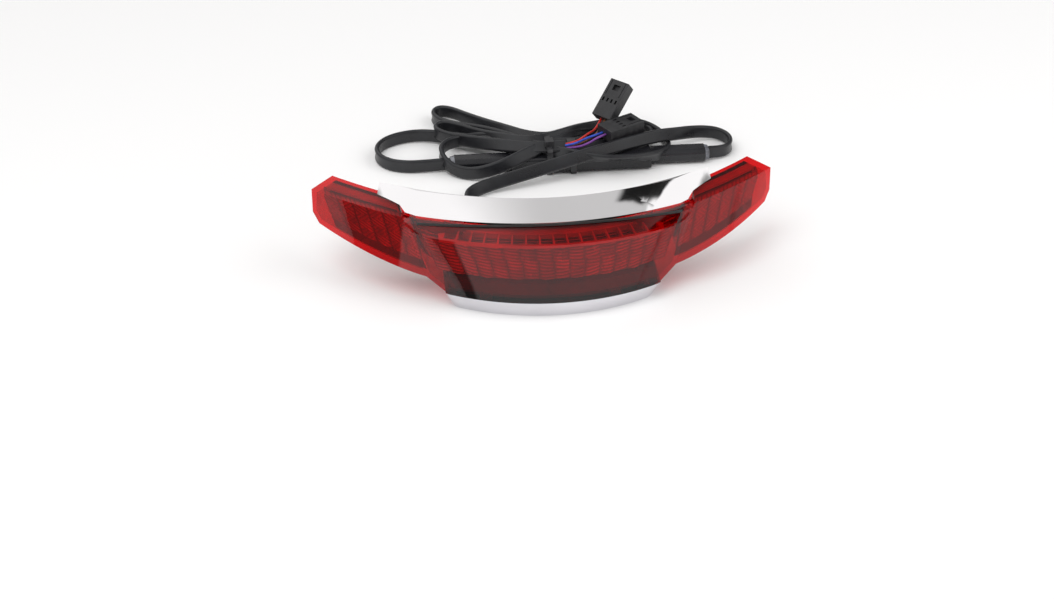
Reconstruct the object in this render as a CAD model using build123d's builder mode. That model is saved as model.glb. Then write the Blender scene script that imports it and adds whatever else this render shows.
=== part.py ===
from build123d import *
import os
from math import cos, degrees, hypot, pi, radians, sin, sqrt, tan

# A wrap-round LED tail light for the rear fender of a motorcycle, with its own pigtail harness.
# Millimetres. +X is right seen from behind the motorcycle, +Y points forward into the fender and
# +Z is up. The origin is at the centre of the light's box on its flat base, at z = 0.

# ---- Driving dimensions ----------------------------------------------------------------------

FENDER_R = 230.0  # curve of the fender across the motorcycle, which the back of the light follows
BACK_Y = 1.1  # back of the light on the centre line
PLATE = 3.0  # back plate of the housing
SEAL = 1.0  # rubber seal between back plate and lens
WALL = 2.5  # lens wall
FIT = 0.4  # clearance of what stands inside the lens

# Centre section of the lens at three heights: height, corner (x, y), middle y and wing root (x, y)
LENS_BOTTOM = (12.2, (66.6, -29.4), -46.0, (77.5, -21.2))
LENS_CREASE = (45.6, (79.6, -13.4), -30.9, (91.9, -2.6))
LENS_DECK = (50.0, (84.4, -4.5), -13.8, (93.8, -0.2))
UNDERCUT = 0.5  # rise of the underside beside the centre section, in mm per mm

# Wings: front edges as curves through three (x, y, z) points, root to tip
WING_LOW = ((80.4, -17.4, 19.0), (115.0, -1.0, 28.0), (146.0, 27.5, 35.2))
WING_RIDGE = ((95.0, 1.4, 52.8), (122.0, 15.2, 55.4), (150.4, 34.9, 56.9))
WING_SHELF = 0.17  # rise of the wing's top shelf towards the fender, in mm per mm
TIP_X = 150.4  # outermost point
TIP_CORNER = (150.4, 34.9)  # front edge of the slanted end face
TIP_BACK = (138.2, 44.8)  # back edge of the slanted end face
TIP_CUT = ((150.4, 41.4), (145.9, 34.2))  # cut-off lower corner of the tip, as (x, z)

# Bright trim under the lens
TRIM_FOOT = (0.0, (60.8, -26.2), -41.2, (63.0, -24.2))
TRIM_HEAD = (*LENS_BOTTOM[:3], (69.0, -27.6))
TRIM_WALL = 2.0

# Bright visor over the lens
LIP = 2.0  # thickness of the front lip
VISOR_WALL = 2.0
VISOR_LOW = (52.0, (85.2, 3.2), -13.5, (109.8, 22.0))
VISOR_TOP = (68.0, (83.4, 20.2), 10.1, (105.8, 29.2))
VISOR_BACK_Z = 62.0  # height of the back edge on the centre line
VISOR_TILT = 6.0  # degrees that the back edge rises towards the visor's ends

# Inner optics
OPTIC_GAP = 5.0  # from the lens wall to the centre optic
OPTIC_WALL = 2.0
OPTIC_LOW, OPTIC_HIGH = 23.0, 42.0
OPTIC_HALF = 66.0
REFLECTOR_GAP = 3.0  # from the centre optic to the reflector behind it
REFLECTOR_WALL = 1.2
REFLECTOR_HALF = 54.0
SHROUD_WALL = 1.6
SHROUD_LOW, SHROUD_HIGH = 15.4, 22.0
SHROUD_BACK_Y = -9.5
GRID_LOW, GRID_HALF, GRID_BACK_Y = 42.4, 72.0, -9.0
CELL_COUNT = 16  # light cells along the top shelf
CELL_WEB = 1.4
CELL_DEEP = 9.0
WING_OPTIC_X = (99.0, 119.0, 138.0)
WING_OPTIC_GAP, WING_OPTIC_WALL, WING_OPTIC_MARGIN = 5.5, 1.5, 4.5

# Circuit boards and lamps
BOARD = 1.6
CENTRE_BOARD = (112.0, 24.0)
CENTRE_BOARD_AT = (0.0, -6.2, 32.0)  # middle of its back face
WING_BOARD = (36.0, 12.6)
WING_BOARD_X, WING_BOARD_Z, WING_BOARD_GAP = 121.0, 44.0, 4.2
LED, LED_HIGH = 3.0, 1.2
CENTRE_LEDS = (10, 2, 11.0, 10.0)  # columns, rows and their pitches
WING_LEDS = (4, 2, 7.0, 6.0)
CENTRE_SCREWS = (-33.0, 0.0, 33.0)
WING_SCREWS = (-15.2, 15.2)
SCREW_R, SCREW_HEAD_R, SCREW_HEAD, SCREW_LONG = 1.3, 2.0, 1.4, 5.0
PILOT_FIT = 0.05
POST_R = 3.0
RIM, RIM_WALL = 3.6, 1.6  # housing rims that locate the lens

# Fixings
INSERT_X, INSERT_Z = 48.0, 30.0
INSERT_R, INSERT_BORE_R, INSERT_LONG = 4.2, 2.5, 9.5
INSERT_FACE_Y = 4.6
BOSS_R = 6.6
TRIM_SCREW_X, TRIM_SCREW_Y, TRIM_BOSS_R = 42.0, -12.0, 4.0
VISOR_SCREW_X, VISOR_SCREW_Z = 60.0, 54.0
VISOR_FIT = 0.3
VENT_X, VENT_Z, VENT_R, VENT_FLANGE_R = 20.0, 38.0, 4.0, 5.5

# Harness: cable, gland, in-line module, tied hank and two connectors
CABLE_R = 2.5
GLAND_X, GLAND_Z = -30.0, 22.8
GLAND_R, GLAND_FLANGE_R, GLAND_FLANGE = 4.5, 6.0, 1.5
BOOT_LONG = 18.0
BOOT_END_R = 4.6
MODULE = (100.0, 24.0, 12.0)
MODULE_AT = (40.0, 151.0)
SLEEVE_LONG, SLEEVE_WIDE, SLEEVE_HIGH = 40.0, 14.0, 10.0
HANK_HIGH, HANK_GAP = 19.0, 0.3
TIE_WALL, TIE_WIDE = 1.2, 4.0
CONNECTOR = (30.0, 16.0, 9.0)
TERMINAL, TERMINAL_PITCH = 2.2, 3.6
WIRE_R = 0.85

os.makedirs("parts", exist_ok=True)


def save(piece: BuildPart, name: str) -> None:
    """Label a finished piece and write it as a STEP file."""
    piece.part.label = name
    export_step(piece.part, f"parts/{name}.step")


# ---- Shapes that several pieces share ----------------------------------------------------------


def curve_at(points, x: float) -> tuple[float, float]:
    """Y and Z at x on the parabola through three (x, y, z) points."""
    (x0, *_), (x1, *_), (x2, *_) = points
    weights = (
        (x - x1) * (x - x2) / ((x0 - x1) * (x0 - x2)),
        (x - x0) * (x - x2) / ((x1 - x0) * (x1 - x2)),
        (x - x0) * (x - x1) / ((x2 - x0) * (x2 - x1)),
    )
    y = sum(w * p[1] for w, p in zip(weights, points))
    z = sum(w * p[2] for w, p in zip(weights, points))
    return y, z


def fender_y(x: float, gap: float = 0.0) -> float:
    """Y of the surface that stands a gap in front of the fender, at x."""
    return BACK_Y + FENDER_R - sqrt((FENDER_R + gap) ** 2 - x * x)


def fender(gap: float = 0.0) -> Part:
    """Tall cylinder of everything behind the surface a gap in front of the fender."""
    with BuildPart(Plane((0, BACK_Y + FENDER_R, -20))) as drum:
        Cylinder(FENDER_R + gap, 140, align=(Align.CENTER, Align.CENTER, Align.MIN))
    return drum.part


def bow_face(section, inset: float = 0.0, back: float = 60.0) -> Sketch:
    """Plan of a bow-fronted block: front arc, slanted side facets and straight sides."""
    height, (corner_x, corner_y), middle_y, (root_x, root_y) = section
    with BuildSketch(Plane.XY.offset(height)) as plan:
        with BuildLine():
            ThreePointArc((-corner_x, corner_y), (0, middle_y), (corner_x, corner_y))
            Polyline(
                (corner_x, corner_y),
                (root_x, root_y),
                (root_x, back),
                (-root_x, back),
                (-root_x, root_y),
                (-corner_x, corner_y),
            )
        make_face()
        if inset:
            offset(amount=-inset, kind=Kind.INTERSECTION)
    return plan.sketch


def at_height(section, height: float):
    """A section's plan moved to another height."""
    return (height, *section[1:])


def centre_block(inset: float = 0.0) -> Part:
    """Centre section of the light behind the lens face, drawn in from it by an inset."""
    low = at_height(LENS_BOTTOM, LENS_BOTTOM[0] + inset)
    crease = at_height(LENS_CREASE, LENS_CREASE[0] - 0.6 * inset)
    deck = at_height(LENS_DECK, LENS_DECK[0] - inset)
    corner_x, side = LENS_BOTTOM[1][0], 40.0
    with BuildPart() as block:
        add(bow_face(low, inset))
        add(bow_face(crease, inset))
        add(bow_face(deck, inset))
        loft(ruled=True)
        for sign in (-1, 1):
            with BuildSketch(Plane.XZ) as wedge:
                with BuildLine():
                    Polyline(
                        (sign * corner_x, low[0]),
                        (sign * (corner_x + side), low[0]),
                        (sign * (corner_x + side), low[0] + side * UNDERCUT),
                        close=True,
                    )
                make_face()
            extrude(amount=100, both=True, mode=Mode.SUBTRACT)
    return block.part


def wing_face(x: float, inset: float) -> Sketch:
    """Upright section of the right wing at x, open-ended towards the fender."""
    low_y, low_z = curve_at(WING_LOW, x)
    ridge_y, ridge_z = curve_at(WING_RIDGE, x)
    far = 75.0
    with BuildSketch(Plane.YZ.offset(x)) as section:
        with BuildLine():
            Polyline(
                (low_y, low_z),
                (ridge_y, ridge_z),
                (far, ridge_z + (far - ridge_y) * WING_SHELF),
                (far, low_z),
                close=True,
            )
        make_face()
        if inset:
            offset(amount=-inset, kind=Kind.INTERSECTION)
    return section.sketch


def root_plane(shift: float) -> Plane:
    """Plane along the wing root, moved outboard by a shift; its normal points outboard."""
    (x0, z0), (x1, z1) = (WING_LOW[0][0], WING_LOW[0][2]), (WING_RIDGE[0][0], WING_RIDGE[0][2])
    return Plane((x0 + shift, 0, z0), x_dir=(0, 1, 0), z_dir=(z1 - z0, 0, x0 - x1))


def tip_planes(inset: float) -> list[Plane]:
    """End face and cut-off lower corner of the right wing, both with outward normals."""
    (ax, ay), (bx, by) = TIP_CORNER, TIP_BACK
    (cx, cz), (dx, dz) = TIP_CUT
    end = Plane((ax, ay, 0), z_dir=(by - ay, ax - bx, 0)).offset(-inset)
    corner = Plane((cx, 0, cz), z_dir=(cz - dz, 0, dx - cx)).offset(-inset)
    return [end, corner]


def wing_block(inset: float = 0.0, root_shift: float = -1.0) -> Part:
    """Right wing of the light, drawn in from its faces by an inset."""
    stations = (78.0, 103.0, 128.0, TIP_X - inset)
    with BuildPart() as block:
        for x in stations:
            add(wing_face(x, inset))
        loft()
        split(bisect_by=root_plane(root_shift), keep=Keep.TOP)
        for plane in tip_planes(inset):
            split(bisect_by=plane, keep=Keep.BOTTOM)
    return block.part


def chambers(inset: float) -> Part:
    """Inner space of the lens: one centre chamber and two wing chambers."""
    wing = wing_block(inset, root_shift=0.8 + inset - WALL)
    with BuildPart() as space:
        add(centre_block(inset))
        add(wing)
        add(mirror(wing, about=Plane.YZ, mode=Mode.PRIVATE))
    return space.part


def outline() -> Part:
    """Outer shape of the lens with its back left open-ended."""
    wing = wing_block()
    with BuildPart() as body:
        add(centre_block())
        add(wing)
        add(mirror(wing, about=Plane.YZ, mode=Mode.PRIVATE))
    return body.part


def save_pair(piece: BuildPart, name: str) -> None:
    """Write a right-hand piece and its mirror image as right and left nodes."""
    save(piece, f"right_{name}")
    with BuildPart() as other:
        add(mirror(piece.part, about=Plane.YZ, mode=Mode.PRIVATE))
    save(other, f"left_{name}")


def lean_section(height: float):
    """Centre section's plan at a height between the lens bottom and its crease."""
    (z0, corner0, mid0, root0), (z1, corner1, mid1, root1) = LENS_BOTTOM, LENS_CREASE
    t = (height - z0) / (z1 - z0)
    corner, root = ([a + t * (b - a) for a, b in zip(*pair)] for pair in ((corner0, corner1), (root0, root1)))
    return height, tuple(corner), mid0 + t * (mid1 - mid0), tuple(root)


def lean_block(inset: float, low: float, high: float) -> Part:
    """Block between two heights whose front leans back like the lens face."""
    with BuildPart() as block:
        add(bow_face(lean_section(low), inset))
        add(bow_face(lean_section(high), inset))
        loft(ruled=True)
    return block.part


def front_panel(inset: float, wall: float, low: float, high: float, half: float, back_y: float) -> Part:
    """Bowed panel that follows the lens face at an inset, or a full shelf if its wall is 0."""
    with BuildPart() as panel:
        add(lean_block(inset, low, high))
        if wall:
            add(lean_block(inset + wall, low, high), mode=Mode.SUBTRACT)
        with Locations((0, back_y, low)):
            Box(2 * half, 60, high - low, align=(Align.CENTER, Align.MAX, Align.MIN), mode=Mode.INTERSECT)
    return panel.part


def wing_optic_face(x: float) -> Sketch:
    """Upright section of the right wing's inner optic at x."""
    (low_y, low_z), (ridge_y, ridge_z) = curve_at(WING_LOW, x), curve_at(WING_RIDGE, x)
    lean = (ridge_y - low_y) / (ridge_z - low_z)
    bottom, top = low_z + WING_OPTIC_MARGIN, ridge_z - WING_OPTIC_MARGIN
    front = low_y + WALL + WING_OPTIC_GAP
    y0, y1 = front + lean * (bottom - low_z), front + lean * (top - low_z)
    with BuildSketch(Plane.YZ.offset(x)) as section:
        with BuildLine():
            Polyline((y0, bottom), (y1, top), (y1 + WING_OPTIC_WALL, top), (y0 + WING_OPTIC_WALL, bottom), close=True)
        make_face()
    return section.sketch


def visor_block(inset: float = 0.0) -> Part:
    """Solid under the visor's top face: an upright lip, a slope and a tilted back edge."""
    low_z, low_mid, top_z, top_mid = VISOR_LOW[0], VISOR_LOW[2], VISOR_TOP[0], VISOR_TOP[2]
    back_edge_y = low_mid + (VISOR_BACK_Z - low_z) / (top_z - low_z) * (top_mid - low_mid)
    tilt = radians(VISOR_TILT)
    edge = Plane((0, back_edge_y, VISOR_BACK_Z - inset), z_dir=(0, -sin(tilt), cos(tilt)))
    with BuildPart() as block:
        add(bow_face(at_height(VISOR_LOW, LENS_DECK[0]), inset))
        extrude(amount=LIP)
        add(bow_face(VISOR_LOW, inset))
        add(bow_face(VISOR_TOP, inset))
        loft(ruled=True)
        split(bisect_by=edge, keep=Keep.BOTTOM)
    return block.part


def trim_block(inset: float = 0.0, floor: float = 0.0) -> Part:
    """Bow-fronted foot under the lens, drawn in by an inset and raised by a floor."""
    with BuildPart() as block:
        add(bow_face(at_height(TRIM_FOOT, floor), inset))
        add(bow_face(TRIM_HEAD, inset))
        loft(ruled=True)
    return block.part


def forward(x: float, y: float, z: float) -> Plane:
    """Plane at a point whose normal points towards the viewer of the lens, along -Y."""
    return Plane((x, y, z), x_dir=(1, 0, 0), z_dir=(0, -1, 0))


def wing_board_plane() -> Plane:
    """Plane on the back face of the right wing board; its normal points out of the lens."""
    slope = WING_BOARD_X / sqrt(FENDER_R**2 - WING_BOARD_X**2)
    length = hypot(1, slope)
    y = fender_y(WING_BOARD_X, PLATE) - WING_BOARD_GAP
    return Plane(
        (WING_BOARD_X, y, WING_BOARD_Z), x_dir=(1 / length, slope / length, 0), z_dir=(slope, -1, 0)
    )


CENTRE_PLANE = forward(*CENTRE_BOARD_AT)
WING_PLANE = wing_board_plane()


# ---- Lens, seal and housing --------------------------------------------------------------------

shell = outline()
hollow = chambers(WALL)
LINK_START = Vector(CENTRE_BOARD[0] / 2, CENTRE_BOARD_AT[1] - BOARD / 2, 36.0)
LINK_END = WING_PLANE.from_local_coords((-WING_BOARD[0] / 2, 0, BOARD / 2))
LINK_R, LINK_HOLE_R = 0.9, 2.0
link_plane = Plane(LINK_START, z_dir=LINK_END - LINK_START)
link_length = (LINK_END - LINK_START).length

with BuildPart(link_plane) as link_bore:
    Cylinder(LINK_HOLE_R, link_length, align=(Align.CENTER, Align.CENTER, Align.MIN))

# The centre section stops at the seal; the wings run back to the fender round the back plate
wing_inside = wing_block(WALL)
with BuildPart() as seal_seat:
    add(centre_block())
    add(wing_inside)
    add(mirror(wing_inside, about=Plane.YZ, mode=Mode.PRIVATE))
    add(fender(PLATE + SEAL), mode=Mode.INTERSECT)

with BuildPart() as lens:
    add(shell)
    add(hollow, mode=Mode.SUBTRACT)
    add(seal_seat.part, mode=Mode.SUBTRACT)
    add(fender(), mode=Mode.SUBTRACT)
    add(link_bore.part, mode=Mode.SUBTRACT)
    add(mirror(link_bore.part, about=Plane.YZ, mode=Mode.PRIVATE), mode=Mode.SUBTRACT)
save(lens, "lens")

with BuildPart() as lens_seal:
    add(seal_seat.part)
    add(fender(PLATE), mode=Mode.SUBTRACT)
    add(hollow, mode=Mode.SUBTRACT)
save(lens_seal, "lens_seal")

with BuildPart() as rims:
    add(chambers(WALL + FIT))
    add(chambers(WALL + FIT + RIM_WALL), mode=Mode.SUBTRACT)
    add(fender(PLATE + SEAL + RIM), mode=Mode.INTERSECT)
    add(fender(PLATE - FIT), mode=Mode.SUBTRACT)

left_wing_plane = Plane(
    (-WING_PLANE.origin.X, WING_PLANE.origin.Y, WING_PLANE.origin.Z),
    x_dir=(WING_PLANE.x_dir.X, -WING_PLANE.x_dir.Y, 0),
    z_dir=(-WING_PLANE.z_dir.X, WING_PLANE.z_dir.Y, 0),
)
POST_DEPTH = 12.0
boards = ((CENTRE_PLANE, CENTRE_SCREWS), (WING_PLANE, WING_SCREWS), (left_wing_plane, WING_SCREWS))
visor_seat_y = fender_y(VISOR_SCREW_X) - PLATE + 1.0
visor_boss_y = fender_y(VISOR_SCREW_X - 3, PLATE) - 0.1

with BuildPart() as housing:
    # Back plate behind the lens, the visor and the trim
    add(shell)
    add(visor_block(VISOR_WALL + VISOR_FIT))
    add(trim_block(TRIM_WALL + FIT, TRIM_WALL + FIT))
    add(fender(PLATE), mode=Mode.INTERSECT)
    add(rims.part)
    # Posts for the three boards
    for plane, screw_places in boards:
        with BuildSketch(plane):
            with Locations(*[(x, 0) for x in screw_places]):
                Circle(POST_R)
        extrude(amount=-POST_DEPTH)
    # Bosses for the threaded inserts
    with BuildSketch(forward(0, INSERT_FACE_Y - INSERT_LONG - 0.6, INSERT_Z)):
        with Locations((-INSERT_X, 0), (INSERT_X, 0)):
            Circle(BOSS_R)
    extrude(amount=-POST_DEPTH)
    # Bosses for the trim screws, each with a rib to the back plate
    for sign in (-1, 1):
        with BuildSketch(Plane.XY.offset(TRIM_WALL + FIT)):
            with Locations((sign * TRIM_SCREW_X, TRIM_SCREW_Y)):
                Circle(TRIM_BOSS_R)
                Rectangle(TRIM_BOSS_R, 20, align=(Align.CENTER, Align.MIN))
        extrude(amount=LENS_BOTTOM[0] - TRIM_WALL - 2 * FIT)
    add(fender(), mode=Mode.SUBTRACT)
    # Holes for the screws, the inserts, the gland and the vent
    for plane, screw_places in boards:
        with BuildSketch(plane):
            with Locations(*[(x, 0) for x in screw_places]):
                Circle(SCREW_R + PILOT_FIT)
        extrude(amount=-SCREW_LONG, mode=Mode.SUBTRACT)
    with BuildSketch(forward(0, INSERT_FACE_Y, INSERT_Z)):
        with Locations((-INSERT_X, 0), (INSERT_X, 0)):
            Circle(INSERT_R)
    extrude(amount=INSERT_LONG, mode=Mode.SUBTRACT)
    with BuildSketch(forward(0, INSERT_FACE_Y, INSERT_Z)):
        with Locations((-INSERT_X, 0), (INSERT_X, 0)):
            Circle(BOSS_R - 1)
    extrude(amount=-10, mode=Mode.SUBTRACT)
    for sign in (-1, 1):
        with Locations((sign * TRIM_SCREW_X, TRIM_SCREW_Y, 0)):
            Cylinder(SCREW_R + PILOT_FIT, 10, align=(Align.CENTER, Align.CENTER, Align.MIN), mode=Mode.SUBTRACT)
    with BuildSketch(forward(0, visor_seat_y, VISOR_SCREW_Z)):
        with Locations((-VISOR_SCREW_X, 0), (VISOR_SCREW_X, 0)):
            Circle(SCREW_HEAD_R + 0.2)
    extrude(amount=-10, mode=Mode.SUBTRACT)
    with BuildSketch(forward(0, visor_seat_y, VISOR_SCREW_Z)):
        with Locations((-VISOR_SCREW_X, 0), (VISOR_SCREW_X, 0)):
            Circle(SCREW_R + 0.2)
    extrude(amount=PLATE, mode=Mode.SUBTRACT)
    for x, z, hole_r in ((GLAND_X, GLAND_Z, GLAND_R), (VENT_X, VENT_Z, VENT_R)):
        with BuildSketch(forward(x, 0, z)):
            Circle(hole_r)
        extrude(amount=10, both=True, mode=Mode.SUBTRACT)
    add(lens.part, mode=Mode.SUBTRACT)
save(housing, "housing")

# ---- Bright trim -------------------------------------------------------------------------------

with BuildPart() as top_visor:
    add(visor_block())
    add(visor_block(VISOR_WALL), mode=Mode.SUBTRACT)
    # Bosses for the screws from behind
    with BuildSketch(forward(0, visor_boss_y, VISOR_SCREW_Z)):
        with Locations((-VISOR_SCREW_X, 0), (VISOR_SCREW_X, 0)):
            Circle(POST_R)
    extrude(amount=5)
    add(visor_block(), mode=Mode.INTERSECT)
    with BuildSketch(forward(0, visor_boss_y, VISOR_SCREW_Z)):
        with Locations((-VISOR_SCREW_X, 0), (VISOR_SCREW_X, 0)):
            Circle(SCREW_R + PILOT_FIT)
    extrude(amount=4.4, mode=Mode.SUBTRACT)
    add(shell, mode=Mode.SUBTRACT)
    add(fender(), mode=Mode.SUBTRACT)
save(top_visor, "top_visor")

with BuildPart() as bottom_trim:
    add(trim_block())
    add(trim_block(TRIM_WALL, TRIM_WALL), mode=Mode.SUBTRACT)
    add(fender(), mode=Mode.SUBTRACT)
    for sign in (-1, 1):
        with Locations(Plane((sign * TRIM_SCREW_X, TRIM_SCREW_Y, 0), z_dir=(0, 0, -1))):
            CounterSinkHole(SCREW_R + 0.2, SCREW_R + 1.7, depth=TRIM_WALL, counter_sink_angle=90)
save(bottom_trim, "bottom_trim")

# ---- Inner optics ------------------------------------------------------------------------------

with BuildPart() as centre_optic:
    add(
        front_panel(
            WALL + OPTIC_GAP, OPTIC_WALL, OPTIC_LOW, OPTIC_HIGH, OPTIC_HALF, SHROUD_BACK_Y - 4
        )
    )
save(centre_optic, "centre_optic")

with BuildPart() as centre_reflector:
    gap = WALL + OPTIC_GAP + OPTIC_WALL + REFLECTOR_GAP
    add(front_panel(gap, REFLECTOR_WALL, OPTIC_LOW, OPTIC_HIGH, REFLECTOR_HALF, SHROUD_BACK_Y))
    with BuildSketch(CENTRE_PLANE):
        columns, rows, column_pitch, row_pitch = CENTRE_LEDS
        with GridLocations(column_pitch, row_pitch, columns, rows):
            Circle(LED + 0.6)
    extrude(amount=60, mode=Mode.SUBTRACT)
save(centre_reflector, "centre_reflector")

with BuildPart() as lower_shroud:
    inset = WALL + 2 * FIT
    add(front_panel(inset, SHROUD_WALL, SHROUD_LOW, SHROUD_HIGH, OPTIC_HALF, SHROUD_BACK_Y))
    shelf_low = SHROUD_HIGH - SHROUD_WALL
    add(front_panel(inset, 0, shelf_low, SHROUD_HIGH, OPTIC_HALF, SHROUD_BACK_Y))
save(lower_shroud, "lower_shroud")

with BuildPart() as top_cell_grid:
    inset = WALL + FIT
    add(centre_block(inset))
    with Locations((0, GRID_BACK_Y, GRID_LOW)):
        Box(2 * GRID_HALF, 60, 20, align=(Align.CENTER, Align.MAX, Align.MIN), mode=Mode.INTERSECT)
    (corner_x, corner_y), middle_y = LENS_CREASE[1], LENS_CREASE[2]
    sag = corner_y - middle_y
    bow_r = (corner_x**2 + sag**2) / (2 * sag) - inset
    cell_pitch = 2 * GRID_HALF / CELL_COUNT
    for i in range(CELL_COUNT):
        turn = (i - (CELL_COUNT - 1) / 2) * cell_pitch / bow_r
        reach = bow_r - CELL_WEB
        place = (reach * sin(turn), middle_y + inset + bow_r - reach * cos(turn), GRID_LOW)
        with Locations(Location(place, (0, 0, degrees(turn)))):
            Box(
                cell_pitch - CELL_WEB,
                CELL_DEEP,
                20,
                align=(Align.CENTER, Align.MIN, Align.CENTER),
                mode=Mode.SUBTRACT,
            )
save(top_cell_grid, "top_cell_grid")

with BuildPart() as wing_optic:
    for x in WING_OPTIC_X:
        add(wing_optic_face(x))
    loft()
save_pair(wing_optic, "wing_optic")

with BuildPart() as wing_reflector:
    with BuildSketch(WING_PLANE.offset(BOARD + SCREW_HEAD + 0.2)):
        Rectangle(*WING_BOARD)
        columns, rows, column_pitch, row_pitch = WING_LEDS
        with GridLocations(column_pitch, row_pitch, columns, rows):
            Rectangle(LED + 1, LED + 1, mode=Mode.SUBTRACT)
    extrude(amount=0.8)
save_pair(wing_reflector, "wing_reflector")

# ---- Boards, lamps and what joins them ---------------------------------------------------------


def board_piece(plane: Plane, size, screw_places) -> Part:
    """Circuit board with its screw holes, its back face on a plane."""
    with BuildPart() as piece:
        with BuildSketch(plane):
            Rectangle(*size)
            with Locations(*[(x, 0) for x in screw_places]):
                Circle(SCREW_R + 0.1, mode=Mode.SUBTRACT)
        extrude(amount=BOARD)
    return piece.part


def led_group(plane: Plane, layout) -> Part:
    """Rows of square lamps on a board's front face."""
    columns, rows, column_pitch, row_pitch = layout
    with BuildPart() as piece:
        with BuildSketch(plane.offset(BOARD)):
            with GridLocations(column_pitch, row_pitch, columns, rows):
                Rectangle(LED, LED)
        extrude(amount=LED_HIGH)
    return piece.part


with BuildPart() as centre_led_board:
    add(board_piece(CENTRE_PLANE, CENTRE_BOARD, CENTRE_SCREWS))
save(centre_led_board, "centre_led_board")

with BuildPart() as centre_leds:
    add(led_group(CENTRE_PLANE, CENTRE_LEDS))
save(centre_leds, "centre_leds")

with BuildPart() as wing_led_board:
    add(board_piece(WING_PLANE, WING_BOARD, WING_SCREWS))
save_pair(wing_led_board, "led_board")

with BuildPart() as wing_leds:
    add(led_group(WING_PLANE, WING_LEDS))
save_pair(wing_leds, "leds")

with BuildPart() as board_components:
    with BuildSketch(CENTRE_PLANE.offset(BOARD)):
        with GridLocations(12, CENTRE_BOARD[1] - 4, 9, 2):
            Rectangle(2.4, 1.3)
    extrude(amount=0.7)
save(board_components, "board_components")

with BuildPart() as board_screws:
    for plane, screw_places in boards:
        with BuildSketch(plane.offset(BOARD)):
            with Locations(*[(x, 0) for x in screw_places]):
                Circle(SCREW_HEAD_R)
        extrude(amount=SCREW_HEAD)
        with BuildSketch(plane.offset(BOARD)):
            with Locations(*[(x, 0) for x in screw_places]):
                Circle(SCREW_R)
        extrude(amount=-SCREW_LONG)
save(board_screws, "board_screws")

with BuildPart(link_plane.offset(0.8)) as right_link:
    Cylinder(LINK_R, link_length - 1.6, align=(Align.CENTER, Align.CENTER, Align.MIN))
with BuildPart() as board_links:
    add(right_link.part)
    add(mirror(right_link.part, about=Plane.YZ, mode=Mode.PRIVATE))
save(board_links, "board_links")

# ---- Fixings, vent and gland -------------------------------------------------------------------

with BuildPart() as fender_inserts:
    with BuildSketch(forward(0, INSERT_FACE_Y, INSERT_Z)):
        with Locations((-INSERT_X, 0), (INSERT_X, 0)):
            Circle(INSERT_R)
            Circle(INSERT_BORE_R, mode=Mode.SUBTRACT)
    extrude(amount=INSERT_LONG)
save(fender_inserts, "fender_inserts")

with BuildPart() as visor_screws:
    with BuildSketch(forward(0, visor_seat_y, VISOR_SCREW_Z)):
        with Locations((-VISOR_SCREW_X, 0), (VISOR_SCREW_X, 0)):
            Circle(SCREW_HEAD_R)
    extrude(amount=-SCREW_HEAD)
    with BuildSketch(forward(0, visor_seat_y, VISOR_SCREW_Z)):
        with Locations((-VISOR_SCREW_X, 0), (VISOR_SCREW_X, 0)):
            Circle(SCREW_R)
    extrude(amount=SCREW_LONG)
save(visor_screws, "visor_screws")

with BuildPart() as trim_screws:
    with Locations(*[(x, TRIM_SCREW_Y, 0.3) for x in (-TRIM_SCREW_X, TRIM_SCREW_X)]):
        Cone(SCREW_R + 1.3, SCREW_R, 1.3, align=(Align.CENTER, Align.CENTER, Align.MIN))
        Cylinder(SCREW_R, 9, align=(Align.CENTER, Align.CENTER, Align.MIN))
save(trim_screws, "trim_screws")

with BuildPart() as breather_vent:
    neck_back = fender_y(VENT_X - VENT_R) - 0.2
    flange_back = fender_y(VENT_X - VENT_FLANGE_R, PLATE) - 0.1
    with BuildSketch(forward(VENT_X, neck_back, VENT_Z)):
        Circle(VENT_R - 0.1)
    extrude(amount=neck_back - flange_back)
    with BuildSketch(forward(VENT_X, flange_back, VENT_Z)):
        Circle(VENT_FLANGE_R)
    extrude(amount=1.2)
save(breather_vent, "breather_vent")

boot_start = fender_y(abs(GLAND_X) + GLAND_FLANGE_R) + 0.4
boot_end = boot_start + BOOT_LONG
flange_back = fender_y(abs(GLAND_X) - GLAND_FLANGE_R, PLATE) - 0.1
with BuildPart() as cable_grommet:
    with BuildSketch(forward(GLAND_X, boot_start, GLAND_Z)):
        Circle(GLAND_R - 0.1)
    extrude(amount=boot_start - flange_back)
    with BuildSketch(forward(GLAND_X, flange_back, GLAND_Z)):
        Circle(GLAND_FLANGE_R)
    extrude(amount=GLAND_FLANGE)
    with BuildSketch(forward(GLAND_X, boot_start, GLAND_Z)):
        Circle(GLAND_FLANGE_R - 0.5)
    with BuildSketch(forward(GLAND_X, boot_end, GLAND_Z)):
        Circle(BOOT_END_R)
    loft()
save(cable_grommet, "cable_grommet")

with BuildPart() as board_pigtail:
    with BuildSketch(forward(GLAND_X, flange_back - GLAND_FLANGE, GLAND_Z)):
        Circle(1.8)
    extrude(amount=flange_back - GLAND_FLANGE - CENTRE_BOARD_AT[1])
save(board_pigtail, "board_pigtail")

# ---- Harness -----------------------------------------------------------------------------------

PLUG_LONG = 3.0
box_x, box_y = MODULE_AT
box_long, box_deep, box_high = MODULE
box_z = TIE_WALL
sleeve_z = box_z + SLEEVE_HIGH / 2
reach = box_long / 2 + SLEEVE_LONG + PLUG_LONG


def round_radii(points) -> list[float]:
    """Bend radius at each inner point, as large as its two runs allow."""
    radii = []
    for a, b, c in zip(points, points[1:], points[2:]):
        first, second = Vector(*b) - Vector(*a), Vector(*c) - Vector(*b)
        turn = radians(first.get_angle(second))
        radii.append(0.45 * min(first.length, second.length) / tan(turn / 2))
    return radii


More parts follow.
